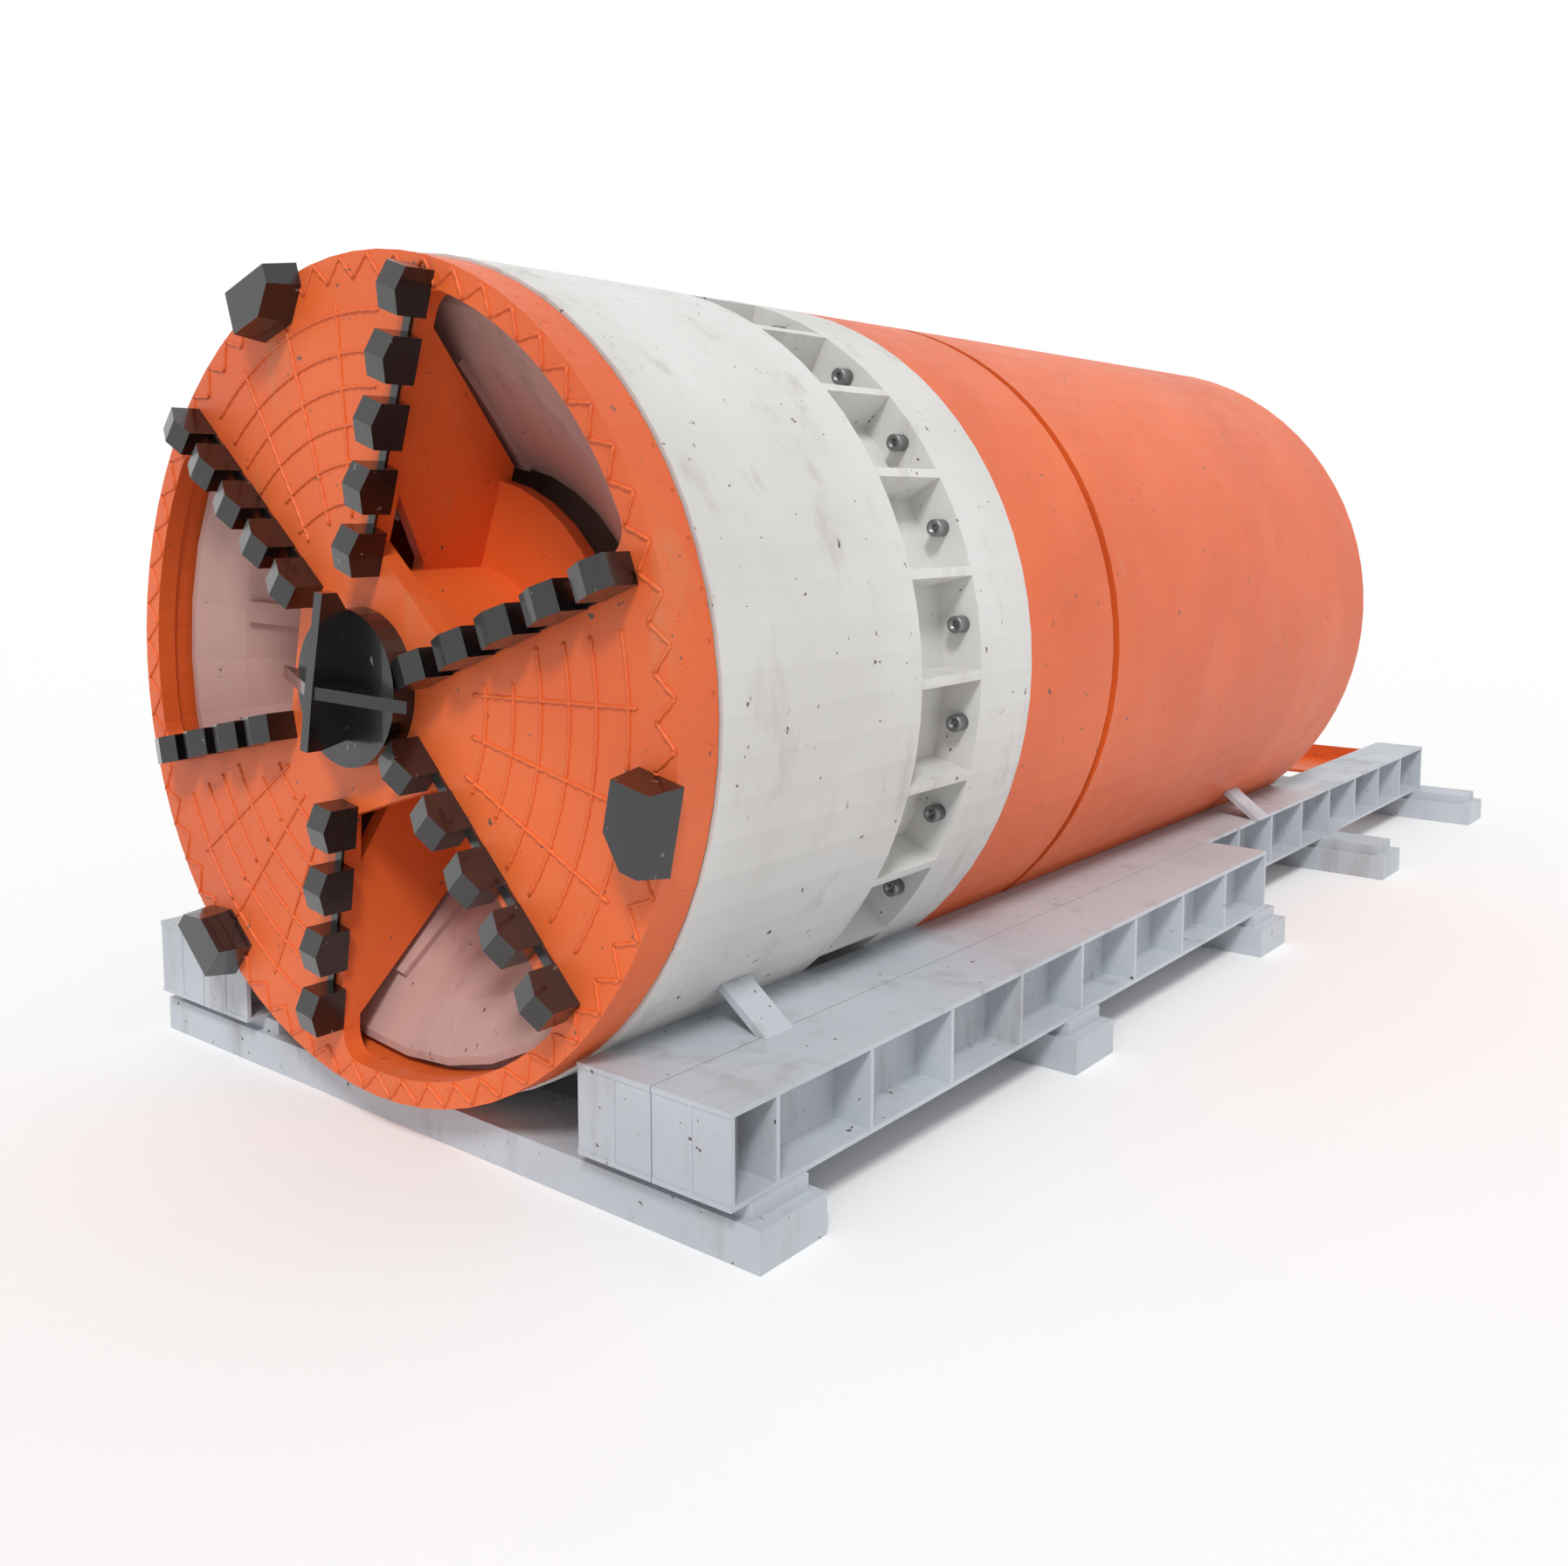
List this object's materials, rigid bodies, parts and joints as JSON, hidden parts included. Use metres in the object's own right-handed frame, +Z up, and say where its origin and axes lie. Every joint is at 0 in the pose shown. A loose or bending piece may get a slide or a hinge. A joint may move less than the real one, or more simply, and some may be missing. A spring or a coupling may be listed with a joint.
{
  "type": "tunnel boring machine",
  "caption": "Slurry tunnel boring machine for small tunnels: drum-shaped shield with a pick cutterhead, standing on a girder launch cradle.",
  "frame": {"origin": "centre of the footprint on the ground under the sleepers", "axes": "+Z up, +Y along the machine from the cutterhead to the tail, +X to its left side"},
  "size_m": [2.284, 5.9194, 2.1453],
  "materials": {
    "orange": "satin",
    "tool_black": "gloss",
    "shield_white": "satin",
    "chamber": "satin",
    "steel": "satin",
    "cradle": "satin"
  },
  "bodies": {
    "cradle_and_rear": {"rear_can_1": "orange", "rear_can_2": "orange", "tail_ring": "orange", "rear_bulkhead": "chamber", "slurry_feed_pipe": "steel", "slurry_return_pipe": "steel", "access_hatch": "chamber", "power_unit": "steel", "inner_girder_left": "cradle", "inner_girder_right": "cradle", "outer_girder_left": "cradle", "outer_girder_right": "cradle", "sleeper_1": "cradle", "sleeper_2": "cradle", "sleeper_3": "cradle", "sleeper_4": "cradle", "sleeper_5": "cradle", "chock_front_left": "cradle", "chock_front_right": "cradle", "chock_rear_left": "cradle", "chock_rear_right": "cradle", "rear_tie": "orange"},
    "front_section": {"front_shield": "shield_white", "crusher_cone": "chamber", "pressure_bulkhead": "chamber", "main_drive": "steel", "bolt_pocket_ring": "shield_white", "mid_band": "shield_white", "front_can": "orange"},
    "cutterhead": {"cutterhead_disc": "orange", "cutterhead_webs": "orange", "pick_row_1": "tool_black", "pick_row_2": "tool_black", "pick_row_3": "tool_black", "pick_row_4": "tool_black", "pick_row_5": "tool_black", "pick_row_6": "tool_black", "gauge_cutter_1": "tool_black", "gauge_cutter_2": "tool_black", "gauge_cutter_3": "tool_black", "nose_plate": "tool_black", "nose_blades": "tool_black", "drive_shaft": "steel"}
  },
  "joints": [
    {"name": "steering", "type": "hinge", "parent": "cradle_and_rear", "child": "front_section", "pos_m": [0, -0.9061, 1.1253], "axis": [-1, 0, 0], "range_deg": [0, 1.8]},
    {"name": "cutterhead_turn", "type": "hinge", "parent": "front_section", "child": "cutterhead", "pos_m": [0, -2.7967, 1.1253], "axis": [0, 1, 0], "continuous": true}
  ]
}
